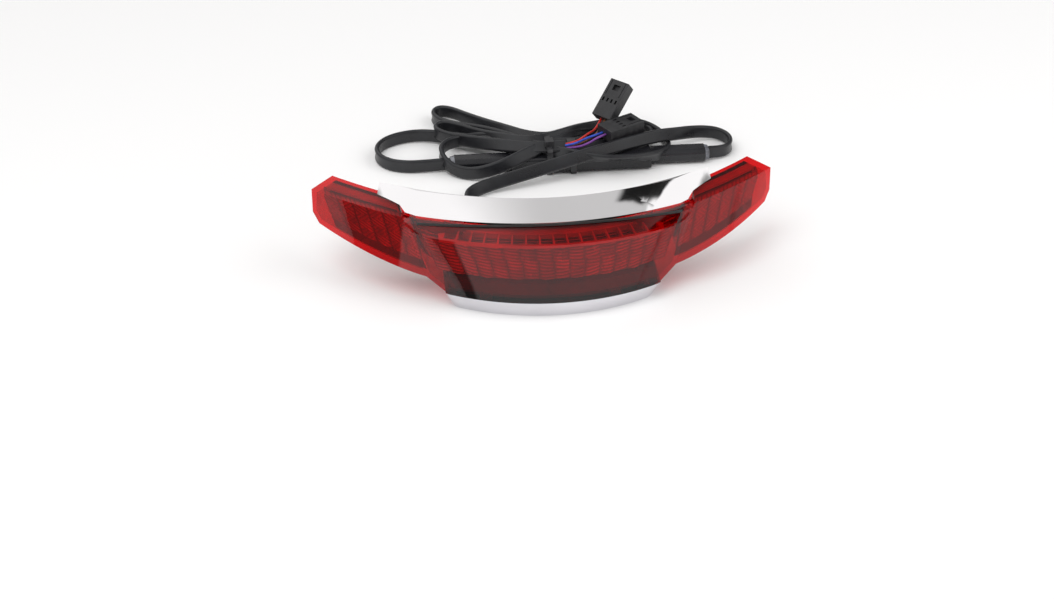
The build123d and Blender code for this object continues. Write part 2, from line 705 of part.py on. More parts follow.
def cord(points, radius: float, name: str) -> BuildPart:
    """Round cord along straight runs joined by tangent arcs."""
    radii = round_radii(points)
    with BuildPart() as piece:
        with BuildLine() as path:
            route = FilletPolyline(*points, radius=radii)
        with BuildSketch(Plane(route @ 0, z_dir=route % 0)):
            Circle(radius)
        sweep()
    length = route.length
    share = piece.part.volume / (pi * radius**2 * length)
    print(name, "length", round(length, 1), "radii", [round(r) for r in radii], "volume", round(share, 4))
    return piece


LEAD_POINTS = [
    (GLAND_X, boot_end, GLAND_Z),
    (GLAND_X, boot_end + 13, GLAND_Z),
    (-30.5, 52, 18.5),
    (-32, 70, 10),
    (-34, 87, 4.2),
    (-34.5, 103, 2.7),
    (-27, 117, 2.6),
    (-12, 125, 3.5),
    (9, 130, 7.5),
    (31, 133, 13.5),
    (52, 138.5, 17.2),
    (75, 148, 16.6),
    (97, 159.5, 16),
    (110, 170.5, 12.5),
    (121, 180.5, 8.8),
    (132.5, 185.8, 5.8),
    (143.9, 186, 3.6),
    (153.1, 179.3, 2.7),
    (156.6, 168.5, 2.7),
    (153.1, 157.7, 4.2),
    (box_x + reach + 10.9, box_y, sleeve_z),
    (box_x + reach, box_y, sleeve_z),
]
HANK_LEFT = -60.0
LOOP_POINTS = [
    (box_x - reach, box_y, sleeve_z),
    (box_x - reach - 7, box_y, sleeve_z),
    (-70, 151, 4),
    (-84, 151.5, 2.8),
    (-96, 156, 2.7),
    (-103.5, 165.5, 2.6),
    (-104.5, 177.5, 2.8),
    (-99, 188, 2.7),
    (-89, 194, 2.8),
    (-78, 196.7, 3.6),
    (HANK_LEFT - 8, 197, 5),
    (HANK_LEFT, 197, 5),
]

FRONT_LOOP_POINTS = [
    (-14, 145.5, 16.25),
    (-22, 145.5, 16.25),
    (-30, 140, 14.2),
    (-36, 134, 9),
    (-43, 131.5, 4),
    (-51, 133.5, 3.4),
    (-57.5, 139.5, 6.5),
    (-60.5, 147, 11.8),
    (-60, 155, 12.3),
    (-55.5, 161.5, 11.2),
    (-48.3, 166.7, 9.5),
    (-42, 176.885, 9.5),
]

for name, points in (
    ("lead_cable", LEAD_POINTS),
    ("loop_cable", LOOP_POINTS),
    ("front_loop_cable", FRONT_LOOP_POINTS),
):
    save(cord(points, CABLE_R, name), name)

with BuildPart() as control_module:
    with Locations((box_x, box_y, box_z)):
        Box(*MODULE, align=(Align.CENTER, Align.CENTER, Align.MIN))
    fillet(control_module.edges().filter_by(Axis.X), radius=2)
save(control_module, "control_module")

for name, sign in (("left", -1), ("right", 1)):
    start = box_x + sign * box_long / 2
    with BuildPart() as sleeve:
        with BuildSketch(Plane((start, box_y, sleeve_z), x_dir=(0, 1, 0), z_dir=(sign, 0, 0))):
            RectangleRounded(SLEEVE_WIDE, SLEEVE_HIGH, 4)
        extrude(amount=SLEEVE_LONG)
    save(sleeve, f"{name}_module_sleeve")
    with BuildPart() as plug:
        end = start + sign * SLEEVE_LONG
        with BuildSketch(Plane((end, box_y, sleeve_z), x_dir=(0, 1, 0), z_dir=(sign, 0, 0))):
            RectangleRounded(SLEEVE_WIDE - 1, SLEEVE_HIGH - 1, 3.5)
        extrude(amount=PLUG_LONG, taper=12)
    save(plug, f"{name}_sleeve_seal")

LONG_TIE_X, SHORT_TIE_X = 17.0, 34.0
box_front, box_back = box_y - box_deep / 2, box_y + box_deep / 2


def tie(x: float, top: float, head_y: float) -> Part:
    """Cable tie round the module and whatever lies on it, up to a height, with its head on top."""
    middle_z = (box_z + top) / 2
    with BuildPart() as piece:
        with BuildSketch(Plane((x, box_y, middle_z), x_dir=(0, 1, 0), z_dir=(1, 0, 0))):
            RectangleRounded(box_deep + 2 * TIE_WALL, top - box_z + 2 * TIE_WALL, 2.5)
            RectangleRounded(box_deep, top - box_z, 2, mode=Mode.SUBTRACT)
        extrude(amount=TIE_WIDE / 2, both=True)
        with Locations((x, head_y, top + TIE_WALL)):
            Box(TIE_WIDE + 2, 7, 4, align=(Align.CENTER, Align.CENTER, Align.MIN))
    return piece.part


SHEATH_Y, SHEATH_Z, SHEATH_LONG = 147.0, HANK_HIGH + CABLE_R + 0.2, 9.0
with BuildPart() as long_tie:
    add(tie(LONG_TIE_X, HANK_HIGH, SHEATH_Y))
save(long_tie, "long_tie")
with BuildPart() as short_tie:
    add(tie(SHORT_TIE_X, box_z + box_high, box_y + 4))
save(short_tie, "short_tie")

with BuildPart() as cable_hank:
    with BuildSketch():
        with BuildLine():
            Polyline(
                (HANK_LEFT, 188),
                (HANK_LEFT, 230),
                (-48, 240),
                (-24, 228),
                (10, 203),
                (55, 205),
                (92, 203),
                (101, 192),
                (97, 178),
                (60, box_back + HANK_GAP),
                (-20, box_back + HANK_GAP),
                close=True,
            )
        make_face()
    extrude(amount=HANK_HIGH)
    fillet(cable_hank.edges().filter_by(Axis.Z), radius=4)
    with BuildSketch(Plane.XY.offset(box_z + box_high + HANK_GAP)):
        with Locations((14, box_back + 2)):
            Rectangle(56, 23, align=(Align.CENTER, Align.MAX))
    extrude(amount=HANK_HIGH - box_z - box_high - HANK_GAP)
    add(long_tie.part, mode=Mode.SUBTRACT)
    add(short_tie.part, mode=Mode.SUBTRACT)
save(cable_hank, "cable_hank")

sheath_start = Vector(LONG_TIE_X + TIE_WIDE / 2 + 1, SHEATH_Y, SHEATH_Z)
with BuildPart() as sheath_end:
    with BuildSketch(Plane(sheath_start, z_dir=(1, 0, 0))):
        Circle(CABLE_R)
    extrude(amount=SHEATH_LONG)
save(sheath_end, "sheath_end")

# Connectors: local x runs from the wires to the mating face, local z is up through the window
CONNECTOR_PLACES = {
    "a": Plane((59, 172, 25.4), x_dir=(0.53, 0.53, 0.655), z_dir=(-0.463, -0.463, 0.756)),
    "b": Plane((57, 151.5, 24.8), x_dir=(0.875, 0.485, 0), z_dir=(0, 0, 1)),
}
WAYS = 4
long, wide, thick = CONNECTOR
for name, place in CONNECTOR_PLACES.items():
    rows = [(i - (WAYS - 1) / 2) * TERMINAL_PITCH for i in range(WAYS)]
    with BuildPart() as body:
        with BuildSketch(place):
            Rectangle(long, wide, align=(Align.MIN, Align.CENTER))
        extrude(amount=thick / 2, both=True)
        fillet(body.edges(), radius=0.5)
        # Terminal ways from the mating face and wire entries at the back
        with BuildSketch(Plane(place.from_local_coords((long, 0, 0)), x_dir=place.y_dir, z_dir=place.x_dir)):
            with Locations(*[(y, 0) for y in rows]):
                Rectangle(TERMINAL, TERMINAL)
        extrude(amount=-12, mode=Mode.SUBTRACT)
        # Latch window and the four lock slots in the top
        with BuildSketch(place.offset(thick / 2)):
            with Locations((0.8 * long, 0)):
                Rectangle(4.5, 5.5)
            with Locations(*[(0.45 * long, y) for y in rows]):
                Rectangle(3, 1.4)
        extrude(amount=-2.6, mode=Mode.SUBTRACT)
        # Shallow grooves along the top
        with BuildSketch(place.offset(thick / 2)):
            with Locations(*[(0.78 * long, sign * (wide / 2 - 2.2)) for sign in (-1, 1)]):
                Rectangle(0.4 * long, 0.6)
        extrude(amount=-0.5, mode=Mode.SUBTRACT)
    save(body, f"connector_{name}")
    with BuildPart() as terminals:
        start = place.from_local_coords((long - 11.5, 0, 0))
        with BuildSketch(Plane(start, x_dir=place.y_dir, z_dir=place.x_dir)):
            with Locations(*[(y, 0) for y in rows]):
                Rectangle(TERMINAL - 0.4, TERMINAL - 0.4)
                Rectangle(TERMINAL - 1.2, TERMINAL - 1.2, mode=Mode.SUBTRACT)
        extrude(amount=9)
    save(terminals, f"terminals_{name}")

# Wires: colour, offset in the sheath, connector and way
WIRES = (
    ("red", (1, 1), "a", 1),
    ("brown", (1, -1), "a", -1),
    ("blue", (-1, 1), "b", 1),
    ("violet", (-1, -1), "b", -1),
)
sheath_face = sheath_start + Vector(SHEATH_LONG, 0, 0)
for colour, (side, level), name, way in WIRES:
    place = CONNECTOR_PLACES[name]
    start = sheath_face + Vector(0, side * 1.1 * WIRE_R, level * 1.1 * WIRE_R)
    end = place.from_local_coords((0, way * TERMINAL_PITCH / 2, 0))
    out, back_off = start + Vector(7, 0, 0), end - place.x_dir * 7
    middle = (out + back_off) / 2 + Vector(0, 0, 0.8 * level)
    points = [tuple(p) for p in (start, out, middle, back_off, end)]
    wire = cord(points, WIRE_R, f"{colour}_wire")
    save(wire, f"{colour}_wire")
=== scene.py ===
"""Looks of a wrap-round LED tail light and its pigtail harness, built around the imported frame."""

import logging
import math
from dataclasses import dataclass
from enum import Enum
from typing import Any, Callable, Optional, Sequence, Union

import bmesh
import bpy
from mathutils import Matrix, Vector


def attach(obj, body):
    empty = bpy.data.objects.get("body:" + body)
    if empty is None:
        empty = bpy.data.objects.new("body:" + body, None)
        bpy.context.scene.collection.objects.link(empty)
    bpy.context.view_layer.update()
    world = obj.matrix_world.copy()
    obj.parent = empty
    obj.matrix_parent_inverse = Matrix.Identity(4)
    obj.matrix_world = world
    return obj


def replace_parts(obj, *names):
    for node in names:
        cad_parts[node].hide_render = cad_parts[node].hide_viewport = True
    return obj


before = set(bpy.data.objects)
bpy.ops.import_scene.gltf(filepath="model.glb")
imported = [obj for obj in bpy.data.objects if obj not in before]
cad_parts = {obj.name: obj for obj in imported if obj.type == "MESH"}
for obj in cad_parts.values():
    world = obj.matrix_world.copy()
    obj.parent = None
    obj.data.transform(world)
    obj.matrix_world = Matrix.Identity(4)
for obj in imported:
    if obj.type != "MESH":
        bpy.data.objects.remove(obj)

LOG = logging.getLogger("tail_light")
MM = 0.001
FLUTE_SHADING = "flute_tone"  # painted light and shade of a fluted piece: 0 is painted shade in a groove, 1 a painted highlight on a crest
CLOUDY = (0.3, 0.7)  # the part of a noise that is spread over 0 to 1
Point = tuple[float, float, float]
Colour = tuple[float, float, float]
Link = Union["Value", bpy.types.NodeSocket, float, Sequence[float]]


class Side(Enum):
    """Which side of the light a mirrored piece is on."""

    LEFT = -1
    RIGHT = 1


# ---- Shader nodes ------------------------------------------------------------------------------


class Value:
    """A number socket of a node tree that takes part in Python arithmetic."""

    def __init__(self, nodes: "Nodes", socket: bpy.types.NodeSocket) -> None:
        """Hold a socket and the tree that it belongs to."""
        self.nodes = nodes
        self.socket = socket

    def math(self, operation: str, *others: Link, first: bool = True) -> "Value":
        """Add a Math node.

        Args:
            operation: the Math node's operation.
            others: the other numbers or sockets.
            first: whether this value is the first operand.

        Returns:
            The node's result.
        """
        operands = [self, *others] if first else [*others, self]
        return self.nodes.value("ShaderNodeMath", {"operation": operation}, dict(enumerate(operands)))

    def __add__(self, other: Link) -> "Value":
        """Sum."""
        return self.math("ADD", other)

    def __sub__(self, other: Link) -> "Value":
        """Difference."""
        return self.math("SUBTRACT", other)

    def __rsub__(self, other: Link) -> "Value":
        """Difference from a number."""
        return self.math("SUBTRACT", other, first=False)

    def __mul__(self, other: Link) -> "Value":
        """Product."""
        return self.math("MULTIPLY", other)

    __rmul__ = __mul__

    def step(self, low: float, high: float) -> "Value":
        """Smooth step from 0 at low to 1 at high.

        Args:
            low: where the step starts.
            high: where the step ends.

        Returns:
            A value from 0 to 1.
        """
        return self.nodes.value(
            "ShaderNodeMapRange",
            {"interpolation_type": "SMOOTHSTEP"},
            {"Value": self, "From Min": low, "From Max": high, "To Min": 0.0, "To Max": 1.0},
        )

    def span(self, low: float, high: float) -> "Value":
        """Rescale 0 to 1 into low to high."""
        return self * (high - low) + low


class Nodes:
    """Node tree of a material or a world."""

    def __init__(self, tree: bpy.types.NodeTree) -> None:
        """Start from an empty tree."""
        self.tree = tree
        tree.nodes.clear()

    def node(
        self, kind: str, settings: Optional[dict[str, Any]] = None, inputs: Optional[dict[Any, Link]] = None
    ) -> bpy.types.Node:
        """Add a node.

        Args:
            kind: the node's type.
            settings: its own settings, which are set first.
            inputs: a number, a colour or a link for each input, by name or place.

        Returns:
            The new node.
        """
        made = self.tree.nodes.new(kind)
        for key, value in (settings or {}).items():
            setattr(made, key, value)
        for key, value in (inputs or {}).items():
            self.put(made.inputs[key], value)
        return made

    def put(self, socket: bpy.types.NodeSocket, value: Link) -> None:
        """Link a socket, or set its own number or colour."""
        if isinstance(value, Value):
            value = value.socket
        if isinstance(value, bpy.types.NodeSocket):
            self.tree.links.new(value, socket)
        elif socket.type == "RGBA" and len(value) == 3:
            socket.default_value = (*value, 1.0)
        else:
            socket.default_value = value

    def value(
        self,
        kind: str,
        settings: Optional[dict[str, Any]] = None,
        inputs: Optional[dict[Any, Link]] = None,
        output: Any = 0,
    ) -> Value:
        """Add a node and take one of its outputs as a value."""
        return Value(self, self.node(kind, settings, inputs).outputs[output])

    def object_point(self, scale: Point = (1, 1, 1)) -> bpy.types.NodeSocket:
        """Object coordinates, scaled by a Mapping node."""
        source = self.node("ShaderNodeTexCoord").outputs["Object"]
        return self.node("ShaderNodeMapping", None, {"Vector": source, "Scale": scale}).outputs[0]

    def noise(self, size: float, detail: float = 3.0, stretch: Point = (1, 1, 1)) -> Value:
        """Noise with spots of about a given size in metres.

        Args:
            size: size of a spot in metres.
            detail: octaves.
            stretch: scale of the three axes before the noise.

        Returns:
            The noise, from about 0.25 to 0.75.
        """
        inputs = {"Vector": self.object_point(stretch), "Scale": 0.5 / size, "Detail": detail}
        return self.value("ShaderNodeTexNoise", None, {**inputs, "Roughness": 0.5})

    def blend(self, share: Link, first: Link, second: Link) -> bpy.types.NodeSocket:
        """Mix two colours by a share of the second."""
        inputs = {"Factor": share, 6: first, 7: second}
        return self.node("ShaderNodeMix", {"data_type": "RGBA"}, inputs).outputs[2]

    def bump(self, height: Link, distance: float) -> bpy.types.NodeSocket:
        """Normal from a height in units of a distance in metres."""
        inputs = {"Height": height, "Strength": 1.0, "Distance": distance}
        return self.node("ShaderNodeBump", None, inputs).outputs[0]


# ---- Finishes ----------------------------------------------------------------------------------


def new_material(name: str) -> tuple[bpy.types.Material, Nodes]:
    """Make an empty material and its tree."""
    material = bpy.data.materials.new(name)
    material.use_nodes = True
    return material, Nodes(material.node_tree)


@dataclass(frozen=True)
class Finish:
    """A surface with cloudy colour, patchy gloss and a fine relief."""

    name: str
    light: Colour
    dark: Colour
    rough: tuple[float, float] = (0.3, 0.45)
    metallic: float = 0.0
    patch: float = 0.004  # size of the colour's clouds, in metres
    grain: float = 0.0004  # size of the relief's grain, in metres
    depth: float = 0.00002  # height of the relief, in metres
    stretch: Point = (1, 1, 1)
    coat: float = 0.0
    crown: float = 0.0  # how strongly the face is crowned in height, per metre
    crown_height: float = 0.0  # height of the crown's ridge, in metres

    def make(self) -> bpy.types.Material:
        """Build the material."""
        material, nodes = new_material(self.name)
        cloud = nodes.noise(self.patch, 4.0, self.stretch)
        fine = nodes.noise(self.grain, 2.0, self.stretch)
        relief = fine * self.depth
        if self.crown:
            split = nodes.node("ShaderNodeSeparateXYZ", None, {0: nodes.object_point()}).outputs
            above = Value(nodes, split[2]) - self.crown_height
            relief = relief - above * above * self.crown
        inputs = {
            "Base Color": nodes.blend(cloud.step(*CLOUDY), self.dark, self.light),
            "Roughness": (cloud * 0.6 + fine * 0.4).step(*CLOUDY).span(*self.rough),
            "Metallic": self.metallic,
            "Coat Weight": self.coat,
            "Normal": nodes.bump(relief, 1.0),
        }
        shader = nodes.node("ShaderNodeBsdfPrincipled", None, inputs)
        nodes.node("ShaderNodeOutputMaterial", None, {"Surface": shader.outputs[0]})
        return material


@dataclass(frozen=True)
class ClearPlastic:
    """Thin-walled clear tinted plastic: a gloss over what shows through it."""

    name: str
    tint: Colour  # what one face lets through
    deep: Colour  # the same where the tint is deepest
    gloss: tuple[float, float] = (0.042, 0.9)  # share mirrored straight on and at a grazing angle
    rise: float = 5.0  # how late that share rises
    rough: tuple[float, float] = (0.0, 0.02)
    patch: float = 0.02  # size of the tint's clouds, in metres

    def make(self) -> bpy.types.Material:
        """Build the material."""
        material, nodes = new_material(self.name)
        cloud = nodes.noise(self.patch, 2.0).step(*CLOUDY)
        through = nodes.blend(cloud, self.deep, self.tint)
        clear = nodes.node("ShaderNodeBsdfTransparent", None, {"Color": through})
        inputs = {"Base Color": (1.0, 1.0, 1.0), "Metallic": 1.0, "Roughness": cloud.span(*self.rough)}
        gloss = nodes.node("ShaderNodeBsdfPrincipled", None, inputs)
        facing = nodes.value("ShaderNodeLayerWeight", None, {"Blend": 0.5}, "Facing")
        share = facing.math("POWER", self.rise).span(*self.gloss)
        mixed = nodes.node("ShaderNodeMixShader", None, {0: share, 1: clear.outputs[0], 2: gloss.outputs[0]})
        nodes.node("ShaderNodeOutputMaterial", None, {"Surface": mixed.outputs[0]})
        return material


@dataclass(frozen=True)
class FlutedPlastic:
    """Bright-backed moulding with painted light on the crests of its flutes and painted shade in its grooves.
    """

    name: str
    # colours of the painted highlight on the crests and of the painted shade in the grooves
    crest_highlight: Colour
    groove: Colour
    rough: tuple[float, float] = (0.15, 0.3)
    metallic: float = 0.5
    patch: float = 0.006  # size of the colour's clouds, in metres
    dulled: float = 0.8  # share of the painted shading that is left between the clouds

    def make(self) -> bpy.types.Material:
        """Build the material."""
        material, nodes = new_material(self.name)
        shading = nodes.value("ShaderNodeAttribute", {"attribute_name": FLUTE_SHADING}, None, "Fac")
        cloud = nodes.noise(self.patch).step(*CLOUDY)
        inputs = {
            # painted shade in the grooves and painted highlight on the crests, dulled at random by the clouds
            "Base Color": nodes.blend(shading * cloud.span(self.dulled, 1.0), self.groove, self.crest_highlight),
            "Roughness": cloud.span(*self.rough),
            "Metallic": self.metallic,
        }
        shader = nodes.node("ShaderNodeBsdfPrincipled", None, inputs)
        nodes.node("ShaderNodeOutputMaterial", None, {"Surface": shader.outputs[0]})
        return material


@dataclass(frozen=True)
class CoatedHousing:
    """Black moulding with a pale reflective coat on the side that the lens closes."""

    name: str
    black: Colour
    coat: Colour
    centre_y: float = 0.2311  # axis of the fender's curve, in metres
    inner: float = 0.2329  # radius of the coated face, in metres
    edge: float = 0.0001  # width of the coat's edge, in metres
    rough: tuple[float, float] = (0.35, 0.5)
    patch: float = 0.004  # size of the coat's clouds, in metres
    grain: float = 0.0004  # size of the relief's grain, in metres
    depth: float = 0.00002  # height of the relief, in metres
    dulled: float = 0.85  # share of the coat's colour that is left between the clouds

    def make(self) -> bpy.types.Material:
        """Build the material."""
        material, nodes = new_material(self.name)
        split = nodes.node("ShaderNodeSeparateXYZ", None, {0: nodes.object_point()}).outputs
        x, forward = Value(nodes, split[0]), Value(nodes, split[1]) - self.centre_y
        coated = (x * x + forward * forward).math("SQRT").step(self.inner - self.edge, self.inner)
        cloud = nodes.noise(self.patch, 4.0).step(*CLOUDY)
        fine = nodes.noise(self.grain, 2.0)
        inputs = {
            "Base Color": nodes.blend(coated * cloud.span(self.dulled, 1.0), self.black, self.coat),
            "Roughness": cloud.span(*self.rough),
            "Normal": nodes.bump(fine, self.depth),
        }
        shader = nodes.node("ShaderNodeBsdfPrincipled", None, inputs)
        nodes.node("ShaderNodeOutputMaterial", None, {"Surface": shader.outputs[0]})
        return material


AnyFinish = Union[Finish, ClearPlastic, FlutedPlastic, CoatedHousing]

RED_LENS = ClearPlastic("red_lens", (0.84, 0.06, 0.08), (0.8, 0.045, 0.06))
# Moulded optic with painted highlights on its flute crests and painted shade in its grooves
OPTIC = FlutedPlastic("moulded_optic", (1.0, 0.85, 0.85), (0.08, 0.04, 0.04))
CELL = Finish("moulded_cells", (0.85, 0.8, 0.8), (0.6, 0.55, 0.55), (0.1, 0.22), 0.2, 0.01, 0.0012, 0.00002)
REFLECTOR = Finish("vacuum_metal", (0.9, 0.9, 0.9), (0.8, 0.8, 0.8), (0.12, 0.2), 1.0, 0.01, 0.002, 0.00001)
VISOR = Finish(
    "visor_chrome", (0.93, 0.92, 0.93), (0.9, 0.89, 0.9), (0.02, 0.05), 1.0, 0.03, 0.006, 0.000004,
    crown=3.9, crown_height=0.058,
)
# Same chrome as the visor, with its colour darkened to paint the shade that it mirrors near the floor
SHADED_TRIM_CHROME = Finish("trim_chrome_painted_shade", (0.74, 0.73, 0.76), (0.68, 0.67, 0.7), (0.03, 0.07), 1.0, 0.03, 0.006, 0.000004)
HOUSING = CoatedHousing("housing_plastic", (0.022, 0.022, 0.024), (0.6, 0.5, 0.5))
SHROUD = Finish("shroud_plastic", (0.045, 0.035, 0.035), (0.02, 0.015, 0.015), (0.25, 0.4))
RUBBER = Finish("soft_rubber", (0.03, 0.03, 0.03), (0.018, 0.018, 0.018), (0.55, 0.75), depth=0.00004)
JACKET = Finish(
    "cable_jacket", (0.017, 0.018, 0.021), (0.01, 0.01, 0.012), (0.26, 0.38), patch=0.008, grain=0.0006
)
SHRINK = Finish(
    "shrink_tube", (0.012, 0.012, 0.015), (0.007, 0.007, 0.009), (0.2, 0.34),
    patch=0.01, grain=0.003, depth=0.00006,
)
GLUE = Finish("clear_glue", (0.16, 0.17, 0.2), (0.05, 0.05, 0.06), (0.1, 0.3), patch=0.002, coat=0.6)
NYLON = Finish("tie_nylon", (0.04, 0.04, 0.043), (0.02, 0.02, 0.022), (0.3, 0.45), patch=0.002)
CONNECTOR = Finish(
    "connector_plastic", (0.028, 0.028, 0.03), (0.014, 0.014, 0.016), (0.35, 0.55), patch=0.002, depth=0.00003
)
BRASS = Finish("brass", (0.72, 0.5, 0.2), (0.55, 0.36, 0.14), (0.2, 0.4), 1.0, 0.003)
STEEL = Finish("zinc_steel", (0.7, 0.7, 0.68), (0.5, 0.5, 0.5), (0.25, 0.45), 1.0, 0.002)
TIN = Finish("tinned_bronze", (0.78, 0.76, 0.72), (0.6, 0.58, 0.54), (0.2, 0.35), 1.0, 0.001)
BOARD = Finish("white_solder_mask", (0.75, 0.76, 0.74), (0.6, 0.62, 0.6), (0.3, 0.5), 0.0, 0.004)
LAMP = Finish("lamp_phosphor", (0.8, 0.66, 0.25), (0.65, 0.5, 0.16), (0.2, 0.35), 0.0, 0.001)
CERAMIC = Finish("resistor_ceramic", (0.05, 0.05, 0.055), (0.02, 0.02, 0.02), (0.3, 0.5), 0.0, 0.001)
VENT = Finish("vent_plastic", (0.5, 0.5, 0.5), (0.35, 0.35, 0.35), (0.4, 0.6), 0.0, 0.001)


def wire_finish(colour: str, light: Colour, dark: Colour) -> Finish:
    """Coloured insulation of a thin wire."""
    return Finish(f"{colour}_insulation", light, dark, (0.3, 0.45), 0.0, 0.002)


RED_WIRE = wire_finish("red", (0.62, 0.03, 0.02), (0.45, 0.015, 0.012))
BROWN_WIRE = wire_finish("brown", (0.2, 0.085, 0.035), (0.13, 0.05, 0.02))
BLUE_WIRE = wire_finish("blue", (0.03, 0.09, 0.55), (0.015, 0.05, 0.38))
VIOLET_WIRE = wire_finish("violet", (0.24, 0.07, 0.36), (0.16, 0.04, 0.25))

# The finish of each CAD node that shows as it is
NODE_FINISHES: dict[AnyFinish, tuple[str, ...]] = {
    RED_LENS: ("lens",),
    HOUSING: ("housing",),
    SHROUD: ("lower_shroud",),
    RUBBER: ("lens_seal", "cable_grommet"),
    VISOR: ("top_visor",),
    SHADED_TRIM_CHROME: ("bottom_trim",),
    CELL: ("top_cell_grid",),
    REFLECTOR: ("centre_reflector", "left_wing_reflector", "right_wing_reflector"),
    BOARD: ("centre_led_board", "left_led_board", "right_led_board"),
    LAMP: ("centre_leds", "left_leds", "right_leds"),
    CERAMIC: ("board_components",),
    STEEL: ("board_screws", "visor_screws", "trim_screws"),
    BRASS: ("fender_inserts",),
    TIN: ("board_links", "terminals_a", "terminals_b"),
    VENT: ("breather_vent",),
    SHRINK: ("control_module", "left_module_sleeve", "right_module_sleeve"),
    GLUE: ("left_sleeve_seal", "right_sleeve_seal"),
    NYLON: ("long_tie", "short_tie"),
    CONNECTOR: ("connector_a", "connector_b"),
    JACKET: ("board_pigtail",),
}


# ---- Making pieces -----------------------------------------------------------------------------


MADE: dict[str, bpy.types.Material] = {}


def dress(piece: bpy.types.Object, finish: AnyFinish) -> None:
    """Give every face of a piece one finish."""
    if finish.name not in MADE:
        MADE[finish.name] = finish.make()
    material = MADE[finish.name]
    if piece.data.materials:
        for i in range(len(piece.data.materials)):
            piece.data.materials[i] = material
    else:
        piece.data.materials.append(material)


def new_piece(name: str, mesh: bmesh.types.BMesh, finish: AnyFinish) -> bpy.types.Object:
    """Turn a bmesh into a piece of the light.

    Args:
        name: the piece's name.
        mesh: its shape in metres, in place; it is freed.
        finish: what it is made of.

    Returns:
        The new object, which rides on the only body.
    """
    data = bpy.data.meshes.new(name)
    bmesh.ops.recalc_face_normals(mesh, faces=mesh.faces[:])
    mesh.to_mesh(data)
    mesh.free()
    piece = bpy.data.objects.new(name, data)
    bpy.context.scene.collection.objects.link(piece)
    dress(piece, finish)
    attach(piece, "root")
    LOG.info("%s: %d faces", name, len(data.polygons))
    return piece


def shade_smooth(piece: bpy.types.Object, angle: float = 40.0) -> None:
    """Smooth a piece's shading except at edges sharper than an angle in degrees."""
    piece.data.shade_smooth()
    piece.data.set_sharp_from_angle(angle=math.radians(angle))


def grid_sheet(
    columns: int, rows: int, place: Callable[[float, float], tuple[Vector, float]], wall: float
) -> bmesh.types.BMesh:
    """Sheet of columns by rows that follows a surface and has a thickness.

    Args:
        columns: faces across.
        rows: faces up.
        place: the point and painted shading (highlight on crests, shade in grooves) for a share across and a
            share up, both from 0 to 1.
        wall: thickness behind the surface, in metres.

    Returns:
        The closed sheet.
    """
    sheet = bmesh.new()
    shading_layer = sheet.verts.layers.float.new(FLUTE_SHADING)
    bmesh.ops.create_grid(sheet, x_segments=columns, y_segments=rows, size=0.5)
    for vertex in sheet.verts:
        vertex.co, vertex[shading_layer] = place(vertex.co.x + 0.5, vertex.co.y + 0.5)
    back = bmesh.ops.extrude_face_region(sheet, geom=sheet.faces[:])["geom"]
    moved = [part for part in back if isinstance(part, bmesh.types.BMVert)]
    bmesh.ops.translate(sheet, verts=moved, vec=(0, wall, 0))
    return sheet


def hashed(*numbers: int) -> float:
    """Number from 0 to 1 that looks random and is always the same for the same whole numbers."""
    value = math.sin(sum(n * k for n, k in zip(numbers, (127.1, 311.7, 74.7)))) * 43758.5453
    return value - math.floor(value)


def arch(share: float) -> float:
    """Crown of a rounded column: 0 at its two edges and 1 in its middle."""
    return math.sin(math.pi * share) ** 0.5 if 0 < share < 1 else 0.0


def zigzag(phase: float) -> float:
    """Wave of straight slopes: 1 at whole numbers and 0 halfway between them."""
    return abs((phase % 1) * 2 - 1)


